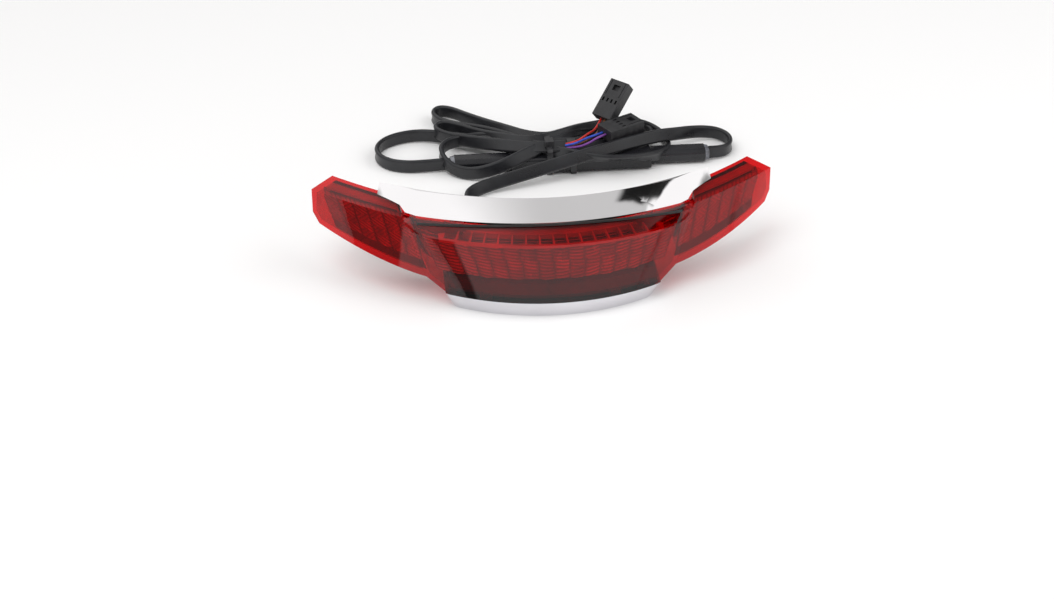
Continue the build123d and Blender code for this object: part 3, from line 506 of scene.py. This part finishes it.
@dataclass
class CentreOptic:
    """Fluted inner optic behind the centre face: columns of cells whose flutes lean a little."""

    low: float = 22.6  # heights in mm
    high: float = 43.0
    half: float = 1.1  # share of the way to the corner of the lens
    columns: int = 16
    column_faces: int = 8
    flute: float = 1.9  # pitch of the flutes, in mm
    flute_faces: int = 6
    inset: float = 7.0  # from the lens's outer face, in mm
    groove: float = 0.9  # depth of the grooves between columns, in mm
    relief: float = 0.42  # height of the flutes, in mm
    wall: float = 1.6  # in mm
    jog: float = 0.12  # how far the upper cells are shifted, as a share of a column
    jog_from: float = 0.52  # share of the height where they start
    band_flutes: int = 3  # flutes in a cell
    fan: float = 1.5  # lean of the flutes at the two ends, in flutes across a column
    jitter: float = 1.2  # how much that lean differs from cell to cell
    step: float = 0.35  # how far cells stand back from each other, in mm
    edge_relief: float = 0.4  # share of the relief that is left at a column's edges
    dark: float = 0.12  # painted shade in the grooves
    fall: float = 1.3  # how fast the painted highlight falls beside a crest
    crest_width: float = 1.25  # how much of a column has the full painted highlight
    dullest: float = 0.45  # painted highlight of the dullest cell, as a share
    # Height, corner x and y, and middle y of the lens's face at its bottom and its crease, in mm
    bottom: tuple[float, float, float, float] = (12.2, 66.6, -29.4, -46.0)
    crease: tuple[float, float, float, float] = (45.6, 79.6, -13.4, -30.9)

    def face(self, across: float, height: float, inset: float) -> Vector:
        """Point on the bowed face.

        Args:
            across: from -1 at the left corner to 1 at the right one.
            height: height in mm.
            inset: distance behind the lens's outer face, in mm.

        Returns:
            The point in metres.
        """
        share = (height - self.bottom[0]) / (self.crease[0] - self.bottom[0])
        _, corner_x, corner_y, middle_y = (a + share * (b - a) for a, b in zip(self.bottom, self.crease))
        sag = corner_y - middle_y
        radius = (corner_x**2 + sag**2) / (2 * sag)
        turn = across * math.asin(corner_x / radius)
        reach = radius - inset
        return Vector((reach * math.sin(turn), middle_y + radius - reach * math.cos(turn), height)) * MM

    def point(self, across: float, up: float) -> tuple[Vector, float]:
        """Point and painted shading of the fluted front."""
        height = self.low + up * (self.high - self.low)
        shift = self.jog if up > self.jog_from else 0.0
        column, within = divmod(across * self.columns + shift, 1)
        column = min(int(column), self.columns)
        crown = arch(within)
        band = int((height - self.low) / (self.flute * self.band_flutes))
        lean = (0.5 - across) * self.fan + (hashed(column, band) - 0.5) * self.jitter
        phase = (height - self.low) / self.flute + lean * (within - 0.5) + 0.5 * (column % 2)
        valley = zigzag(phase)
        back = self.step * hashed(column, band, 3)
        relief = self.relief * (self.edge_relief + (1 - self.edge_relief) * crown)
        inset = self.inset + self.groove * (1 - crown) + valley * relief + back
        # Painted highlight on the flute crests, weaker in random cells, and painted shade in the valleys and
        # in the grooves between columns
        cell = self.dullest + (1 - self.dullest) * hashed(column, band, 7)
        painted_highlight = (1 - valley) ** self.fall * min(1.0, crown * self.crest_width) * cell
        shading = self.dark + (1 - self.dark) * painted_highlight
        return self.face((2 * across - 1) * self.half, height, inset), shading

    def build(self) -> bpy.types.Object:
        """Build and dress the optic."""
        rows = round((self.high - self.low) / self.flute) * self.flute_faces
        sheet = grid_sheet(self.columns * self.column_faces, rows, self.point, self.wall * MM)
        piece = new_piece("fluted_centre_optic", sheet, OPTIC)
        shade_smooth(piece, 50)
        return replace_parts(piece, "centre_optic")


@dataclass
class WingOptic:
    """Fluted inner optic of one wing: a skirt, slanted columns in a herringbone and a shelf whose teeth are
    only painted light and shade.
    """

    side: Side
    span: tuple[float, float] = (85.0, 141.0)  # x of its ends at mid height, in mm
    slant: float = 0.42  # how far the columns lean outboard, in mm per mm
    columns: int = 6
    column_faces: int = 10
    flute: float = 2.0  # pitch of the flutes, in mm
    flute_faces: int = 5
    slope: float = 0.55  # slope of the flutes, in mm per mm
    bands: int = 4  # cells in a column
    inset: float = 7.4  # from the lens's outer face, in mm
    groove: float = 0.8  # depth of the grooves between columns, in mm
    relief: float = 0.5  # height of the flutes, in mm
    developed: float = 32.0  # height of the optic along its skirt, face and shelf, in mm
    slant_height: float = 24.0  # height over which the columns lean, in mm
    last_x: float = 142.5  # outermost point, in mm
    margin: tuple[float, float] = (3.0, 3.6)  # under and over it, in mm
    skirt: float = 0.2  # share of the rows that flare forward at the bottom
    skirt_inset: float = 3.4  # of its front edge, in mm
    skirt_drop: float = 2.5  # height that it takes up, in mm
    shelf: float = 0.2  # share of the rows that run back at the top
    shelf_run: float = 8.0  # in mm
    toothed: float = 0.45  # share of the shelf with painted teeth
    teeth: int = 18
    tooth_share: float = 0.75  # share of the shelf's width that the painted teeth take up
    tooth_shading: tuple[float, float] = (0.4, 1.0)  # painted shade between the teeth and painted highlight on them
    back_shading: float = 0.45  # painted shade behind the teeth
    # painted shade on the forward-flaring skirt
    skirt_shading: float = 0.16
    dark: float = 0.15  # painted shade in the grooves
    crest_width: float = 1.3  # how much of a column has the full painted highlight
    dullest: float = 0.6  # painted highlight of the dullest cell, as a share
    wall: float = 1.2  # in mm
    # The lens's lower front edge and its ridge, root to tip, in mm
    low_edge: tuple[Point, Point, Point] = ((80.4, -17.4, 19.0), (115.0, -1.0, 28.0), (146.0, 27.5, 35.2))
    ridge: tuple[Point, Point, Point] = ((95.0, 1.4, 52.8), (122.0, 15.2, 55.4), (150.4, 34.9, 56.9))

    @staticmethod
    def along(points: tuple[Point, Point, Point], x: float) -> tuple[float, float]:
        """Y and Z at x on the parabola through three points, in mm."""
        (x0, *_), (x1, *_), (x2, *_) = points
        weights = (
            (x - x1) * (x - x2) / ((x0 - x1) * (x0 - x2)),
            (x - x0) * (x - x2) / ((x1 - x0) * (x1 - x2)),
            (x - x0) * (x - x1) / ((x2 - x0) * (x2 - x1)),
        )
        return tuple(sum(w * p[axis] for w, p in zip(weights, points)) for axis in (1, 2))

    def point(self, across: float, up: float) -> tuple[Vector, float]:
        """Point and painted shading of the fluted front."""
        face = min(1.0, max(0.0, (up - self.skirt) / (1 - self.skirt - self.shelf)))
        wide = self.span[1] - self.span[0]
        x = self.span[0] + across * wide + self.slant * (up - 0.5) * self.slant_height
        x = min(x, self.last_x)
        (low_y, low_z), (ridge_y, ridge_z) = self.along(self.low_edge, x), self.along(self.ridge, x)
        bottom, top = low_z + self.margin[0] + self.skirt_drop, ridge_z - self.margin[1]
        skirt = max(0.0, 1 - up / self.skirt)
        shelf = max(0.0, (up - 1) / self.shelf + 1)
        height = bottom + face * (top - bottom) - self.skirt_drop * skirt
        share = (height - low_z) / (ridge_z - low_z)
        if skirt or shelf:
            inset = self.inset + (self.skirt_inset - self.inset) * skirt + self.shelf_run * shelf
            # Painted teeth on the shelf: painted highlight on them, painted shade between and behind them;
            # painted shade on the skirt
            tooth = self.tooth_shading[zigzag(across * self.teeth) < self.tooth_share]
            shading = self.skirt_shading if skirt else tooth if shelf < self.toothed else self.back_shading
        else:
            column, within = divmod(across * self.columns, 1)
            column = min(int(column), self.columns - 1)
            crown = arch(within)
            band = int(face * self.bands)
            lean = 1 if (column + band) % 2 else -1
            valley = zigzag((height + lean * self.slope * within * wide / self.columns) / self.flute)
            inset = self.inset + self.groove * (1 - crown) + valley * self.relief
            # Painted highlight on the flute crests, weaker in random cells, and painted shade in the valleys
            # and the column grooves
            cell = self.dullest + (1 - self.dullest) * hashed(column, band, 7)
            painted_highlight = (1 - valley) * min(1.0, crown * self.crest_width) * cell
            shading = self.dark + (1 - self.dark) * painted_highlight
        y = low_y + share * (ridge_y - low_y) + inset
        return Vector((self.side.value * x, y, height)) * MM, shading

    def build(self) -> bpy.types.Object:
        """Build and dress the optic."""
        side = self.side.name.lower()
        rows = round(self.developed / self.flute) * self.flute_faces
        sheet = grid_sheet(self.columns * self.column_faces, rows, self.point, self.wall * MM)
        piece = new_piece(f"fluted_{side}_wing_optic", sheet, OPTIC)
        shade_smooth(piece, 50)
        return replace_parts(piece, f"{side}_wing_optic")


@dataclass
class VisorShadeStrip:
    """Black strip of painted shade in the joint between the lens's deck and the visor's lip."""

    low: float = 49.6  # heights in mm
    high: float = 51.3
    corner: tuple[float, float] = (85.0, -4.9)  # x and y of its right end, in mm
    middle: float = -14.1  # y of its middle, in mm
    columns: int = 60
    wall: float = 0.9

    def point(self, across: float, up: float) -> tuple[Vector, float]:
        """Point of the strip's front."""
        x = (2 * across - 1) * self.corner[0]
        y = self.middle + (self.corner[1] - self.middle) * (x / self.corner[0]) ** 2
        return Vector((x, y, self.low + up * (self.high - self.low))) * MM, 0.0

    def build(self) -> bpy.types.Object:
        """Build and dress the strip."""
        strip = grid_sheet(self.columns, 2, self.point, self.wall * MM)
        # its dark rubber finish paints the shade in the joint
        return new_piece("visor_shade_strip", strip, RUBBER)


# ---- Cords -------------------------------------------------------------------------------------


@dataclass
class Route:
    """A cord's smooth line through given points, each with the tilt of its flat side."""

    name: str
    points: Sequence[Point]
    tilts: Sequence[float]  # degrees from on edge, 90 is lying flat

    def curve(self, profile: Optional[bpy.types.Object] = None) -> bpy.types.Object:
        """Make the route's curve, with a section swept along it if one is given."""
        data = bpy.data.curves.new(f"{self.name}_line", "CURVE")
        data.dimensions = "3D"
        data.twist_mode = "Z_UP"
        data.resolution_u = 10
        spline = data.splines.new("NURBS")
        spline.points.add(len(self.points) - 1)
        for place, point, tilt in zip(spline.points, self.points, self.tilts):
            place.co, place.tilt = (*point, 1.0), math.radians(tilt)
        spline.order_u = 3
        spline.use_endpoint_u = True
        if profile:
            data.bevel_mode, data.bevel_object, data.use_fill_caps = "OBJECT", profile, True
        return bpy.data.objects.new(data.name, data)

    def line(self) -> list[Vector]:
        """Points along the middle of the smooth line."""
        bare = self.curve()
        mesh = bpy.data.meshes.new_from_object(bare)
        points = [vertex.co.copy() for vertex in mesh.vertices]
        bpy.data.meshes.remove(mesh)
        bpy.data.curves.remove(bare.data)
        return points


def path_length(line: Sequence[Vector]) -> float:
    """Length of a line of points."""
    return sum((b - a).length for a, b in zip(line, line[1:]))


@dataclass
class FlatCable:
    """Flat twin-core cable: two round cores in one black jacket."""

    width: float = 0.0096
    thick: float = 0.0034
    waist: float = 0.62  # thickness between the cores, as a share of the thickness
    corner_points: int = 7

    def profile(self) -> bpy.types.Object:
        """Closed section with a shallow groove between the cores; its long side is upright."""
        data = bpy.data.curves.new("cable_section", "CURVE")
        data.dimensions = "2D"
        spline = data.splines.new("POLY")
        core, apart = self.thick / 2, (self.width - self.thick) / 2
        corners = []
        for sign in (1, -1):
            for i in range(self.corner_points):
                turn = math.pi * (i / (self.corner_points - 1)) + (0 if sign > 0 else math.pi)
                corners.append((core * math.cos(turn), sign * apart + core * math.sin(turn)))
            corners.append((-sign * core * self.waist, 0.0))
        spline.points.add(len(corners) - 1)
        for place, (x, y) in zip(spline.points, corners):
            place.co = (x, y, 0, 1)
        spline.use_cyclic_u = True
        return bpy.data.objects.new(data.name, data)

    def build(self, route: Route) -> bpy.types.Object:
        """Sweep the cable along a route and turn it into a mesh piece."""
        section = self.profile()
        swept = route.curve(section)
        for temporary in (section, swept):
            bpy.context.scene.collection.objects.link(temporary)
        bpy.context.view_layer.update()
        evaluated = swept.evaluated_get(bpy.context.evaluated_depsgraph_get())
        data = bpy.data.meshes.new_from_object(evaluated)
        mesh = bmesh.new()
        mesh.from_mesh(data)
        bmesh.ops.remove_doubles(mesh, verts=mesh.verts[:], dist=1e-6)
        for temporary in (section, swept):
            bpy.data.objects.remove(temporary)
        piece = new_piece(route.name, mesh, JACKET)
        shade_smooth(piece, 60)
        return piece


def metres(*points: Point) -> list[Point]:
    """Points in mm as points in metres."""
    return [tuple(c * MM for c in point) for point in points]


@dataclass
class Harness:
    """Flat cable from the light to the module, the cable's hank, and the four wires of its end."""

    cable: FlatCable
    wire_radius: float = 0.85 * MM

    def lead(self) -> bpy.types.Object:
        """Cable from the light over the module to its right sleeve."""
        points = metres(
            (-30, 22.335, 22.8), (-30, 35.335, 22.8), (-31.5, 52, 18.5), (-35, 68, 11.5), (-40, 84, 6.5),
            (-44.5, 98, 5.4), (-42, 110, 5.4), (-30, 117.5, 6.2), (-14, 121, 8.8), (9, 125.5, 12.8),
            (31, 131, 16.2), (52, 137, 18.8), (75, 147, 19), (97, 158, 17.5), (112, 167, 13.5),
            (124, 175.5, 9.8), (135, 180.8, 7), (145, 180.5, 5.6), (151.8, 172.5, 5.3), (152, 162, 5.4),
            (147, 153.5, 5.8), (139, 150.5, 6.2), (133, 151, 6.2),
        )
        tilts = [
            -90, -80, -60, -45, -35, -30, -30, -28, -28, -28, -28, -28,
            -28, -25, -20, -12, -6, 0, 0, 0, 0, 0, 0,
        ]
        route = Route("lead_ribbon", points, tilts)
        piece = self.cable.build(route)
        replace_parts(piece, "lead_cable")
        line = route.line()
        LOG.info("lead %.4f m", path_length(line))
        return piece

    def hank(self) -> Route:
        """Cable from the module's left sleeve, wound into the tied hank, to its open end."""
        turns = [
            # Left loop, out of the sleeve and back to the tie
            ((-53, 151, 6.2), 0), ((-60, 151, 6.2), 0), ((-70, 151, 5.6), 0), ((-84, 151.5, 5.2), 0),
            ((-96, 156, 5.1), 0), ((-103.5, 165.5, 5.1), 0), ((-104.5, 177.5, 5.1), 0), ((-99, 188, 5.1), 0),
            ((-89, 194.5, 5.2), 0), ((-78, 197.4, 5.4), 0), ((-66, 196.5, 5.8), 0), ((-48, 188, 6.6), 10),
            ((-28, 177, 9), 25), ((-6, 165, 13), 45), ((10, 158, 15), 60),
            # First turn round the right end
            ((30, 157, 15), 60), ((52, 157, 14.8), 50), ((74, 161, 12), 35), ((90, 169, 8), 15),
            ((98, 181, 5.6), 0), ((94, 194, 5.3), 0), ((80, 199.5, 5.6), 0), ((62, 194, 8), 15),
            ((44, 182, 12.5), 30), ((30, 169, 16), 45), ((17, 160.5, 17.8), 60),
            # Top loop on the left
            ((2, 166, 17.5), 50), ((-10, 181, 14.5), 35), ((-23, 199, 10.5), 15), ((-36, 217, 7.5), 0),
            ((-47, 231, 6), 0), ((-56, 234.5, 5.4), 0), ((-61, 227, 5.3), 0), ((-57, 215, 5.6), 0),
            ((-45, 203, 7.5), 0), ((-27, 188, 11.5), 15), ((-8, 168, 15), 40), ((8, 154, 16), 60),
            # Second turn on the right, over the module
            ((28, 149.5, 15.2), 60), ((50, 149, 15), 50), ((66, 155, 14), 30), ((74, 168, 9), 0),
            ((68, 181, 7), 0), ((54, 184, 8), 10), ((38, 174, 12.5), 30), ((26, 160, 15.5), 50),
            ((16, 152, 17), 60),
            # Small loop in front, on the left
            ((4, 144.5, 16.5), 50), ((-10, 137, 13.6), 30), ((-24, 134.5, 9), 10), ((-38, 136, 5.6), 0),
            ((-49, 141, 5.4), 0), ((-57, 149, 8.5), 0), ((-59.5, 158, 11.8), 0), ((-56.5, 167, 12), 0),
            ((-49, 175.5, 10.5), 0), ((-36, 181, 9.5), 0), ((-22, 178, 11), 15), ((-8, 166.5, 14), 45),
            ((6, 155, 16.5), 60),
            # Third turn, low in front of the module and round the right end
            ((22, 144, 15.5), 50), ((38, 136.5, 15), 0), ((56, 132, 15.5), -50), ((76, 133.5, 14.5), -50),
            ((94, 141, 10.5), -20), ((105, 154, 6.5), 0), ((107, 170, 5.6), 0), ((101, 186, 6.4), 0),
            ((88, 196, 8), 0), ((68, 193, 10), 10), ((46, 181, 13), 30), ((28, 167, 16.5), 50),
            ((16, 158, 18.5), 60),
            # Middle loop on the left
            ((0, 157, 18), 55), ((-14, 168, 15), 35), ((-30, 183, 11), 15), ((-44, 197, 10), 0),
            ((-56, 204, 9.5), 0), ((-62, 195, 9.5), 0), ((-53, 183, 10), 0), ((-36, 172, 12), 15),
            ((-16, 159, 15), 35), ((2, 149, 17.6), 55), ((16, 147, 18.2), 60), ((29, 147, 18.6), 60),
        ]
        points = [point for point, _ in turns]
        neighbours = zip(points[:1] + points, points[1:] + points[-1:])
        onward = [after[0] > before[0] for before, after in neighbours]
        tilts = [-tilt if right else tilt for (_, tilt), right in zip(turns, onward)]
        return Route("hank_ribbon", metres(*points), tilts)

    def wires(self) -> list[bpy.types.Object]:
        """The four wires from the cable's end to the connectors."""
        runs = {
            "red": (
                RED_WIRE,
                [
                    (28.5, 147.9, 19.5), (37, 149, 20), (46, 155, 23.4), (53.2, 165.5, 20.6),
                    (58.05, 173.3, 25.4),
                ],
            ),
            "brown": (
                BROWN_WIRE,
                [
                    (28.5, 147.9, 17.7), (37, 148.2, 18), (47, 154, 19.6), (55.6, 163.4, 20.2),
                    (60.5, 170.9, 25.4),
                ],
            ),
            "blue": (
                BLUE_WIRE,
                [
                    (28.5, 146.1, 19.5), (35, 145.6, 20.4), (43, 147.2, 23.6), (50, 149.4, 24.8),
                    (56.2, 153.1, 24.8),
                ],
            ),
            "violet": (
                VIOLET_WIRE,
                [
                    (28.5, 146.1, 17.7), (36, 144.2, 18.2), (45, 144.6, 21), (52, 147, 24.4),
                    (58, 149.9, 24.8),
                ],
            ),
        }
        made = []
        for colour, (finish, points) in runs.items():
            route = Route(f"{colour}_lead_wire", metres(*points), [0] * len(points))
            curve = route.curve()
            curve.data.bevel_depth, curve.data.bevel_resolution = self.wire_radius, 3
            curve.data.use_fill_caps = True
            bpy.context.scene.collection.objects.link(curve)
            bpy.context.view_layer.update()
            evaluated = curve.evaluated_get(bpy.context.evaluated_depsgraph_get())
            mesh = bmesh.new()
            mesh.from_mesh(bpy.data.meshes.new_from_object(evaluated))
            bmesh.ops.remove_doubles(mesh, verts=mesh.verts[:], dist=1e-6)
            bpy.data.objects.remove(curve)
            piece = new_piece(route.name, mesh, finish)
            shade_smooth(piece, 60)
            made.append(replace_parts(piece, f"{colour}_wire"))
        return made

    def build(self) -> None:
        self.lead()
        wires = self.wires()
        route = self.hank()
        piece = self.cable.build(route)
        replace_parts(piece, "loop_cable", "front_loop_cable", "cable_hank", "sheath_end")
        line = route.line()
        LOG.info("hank %.4f m", path_length(line))


# ---- Studio ------------------------------------------------------------------------------------


@dataclass
class Studio:
    """Plain pale floor, soft light and the camera."""

    floor_half: float = 6.0
    place: Vector = Vector((-0.1335, -1.0762, 0.6890))
    right: Vector = Vector((0.99430, -0.10638, 0.00600))
    upward: Vector = Vector((0.05294, 0.54209, 0.83865))
    backward: Vector = Vector((-0.09247, -0.83356, 0.54464))
    lens: float = 67.3

    def floor(self) -> None:
        """Lay the floor."""
        mesh = bmesh.new()
        bmesh.ops.create_grid(mesh, x_segments=1, y_segments=1, size=self.floor_half)
        data = bpy.data.meshes.new("floor")
        mesh.to_mesh(data)
        mesh.free()
        floor = bpy.data.objects.new("floor", data)
        bpy.context.scene.collection.objects.link(floor)
        material, nodes = new_material("pale_floor")
        inputs = {"Base Color": (0.93, 0.93, 0.93), "Roughness": 0.9, "Specular IOR Level": 0.1}
        shader = nodes.node("ShaderNodeBsdfPrincipled", None, inputs)
        nodes.node("ShaderNodeOutputMaterial", None, {"Surface": shader.outputs[0]})
        data.materials.append(material)

    def sky(self) -> None:
        """Light the room with white panels, a grey ceiling edge and one dark flag."""
        world = bpy.data.worlds.new("studio")
        bpy.context.scene.world = world
        world.use_nodes = True
        nodes = Nodes(world.node_tree)
        direction = nodes.node("ShaderNodeTexCoord").outputs["Generated"]
        split = nodes.node("ShaderNodeSeparateXYZ", None, {0: direction}).outputs
        x, y, z = (Value(nodes, socket) for socket in split)
        upper = z.step(0.3, 0.42)
        front = (1 - y.step(-0.4, -0.25)) * x.step(-0.56, -0.53) * 0.8 + 0.2
        flag = x.step(0.30, 0.33) * (1 - x.step(0.485, 0.5)) * (y + (x - 0.33) * 0.42).step(-0.195, -0.185)
        grey = x.step(-0.24, 0.1) * 0.42 * (1 - x.step(0.45, 0.47))
        rear = y.step(0.25, 0.4)
        ceiling = (1 - grey) * (1 - flag * 0.98) * (1 - rear) + rear * (1 - x.step(-0.02, 0.14) * 0.75)
        light = upper * ceiling + (1 - upper) * front
        inputs = {"Color": (1.0, 0.99, 0.985), "Strength": light * 1.05}
        shade = nodes.node("ShaderNodeBackground", None, inputs)
        nodes.node("ShaderNodeOutputWorld", None, {"Surface": shade.outputs[0]})

    def lamp(self, name: str, place: Point, target: Point, size: float, power: float) -> None:
        """Hang a soft lamp that isn't mirrored in shiny faces."""
        data = bpy.data.lights.new(name, "AREA")
        data.size, data.energy = size, power
        lamp = bpy.data.objects.new(name, data)
        bpy.context.scene.collection.objects.link(lamp)
        lamp.location = place
        lamp.rotation_euler = (Vector(target) - Vector(place)).to_track_quat("-Z", "Y").to_euler()
        lamp.visible_glossy = False

    def camera(self) -> None:
        """Set the camera."""
        data = bpy.data.cameras.new("camera")
        data.lens = self.lens
        camera = bpy.data.objects.new("camera", data)
        bpy.context.scene.collection.objects.link(camera)
        turn = Matrix((self.right, self.upward, self.backward)).transposed().to_4x4()
        camera.matrix_world = Matrix.Translation(self.place) @ turn
        bpy.context.scene.camera = camera

    def build(self) -> None:
        """Set up the whole studio."""
        self.camera()
        self.floor()
        self.sky()
        self.lamp("key", (-0.5, -0.5, 1.3), (0, 0.05, 0), 0.9, 7)
        self.lamp("fill", (0.9, -0.2, 0.9), (0, 0.05, 0), 0.9, 3)
        bpy.context.scene.view_settings.view_transform = "Standard"


def main() -> None:
    logging.basicConfig(level=logging.INFO, format="%(name)s %(message)s")
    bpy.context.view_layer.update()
    Studio().build()
    Harness(FlatCable()).build()
    CentreOptic().build()
    VisorShadeStrip().build()
    for side in Side:
        WingOptic(side).build()
    for finish, names in NODE_FINISHES.items():
        for name in names:
            dress(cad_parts[name], finish)


if __name__ == "__main__":
    main()
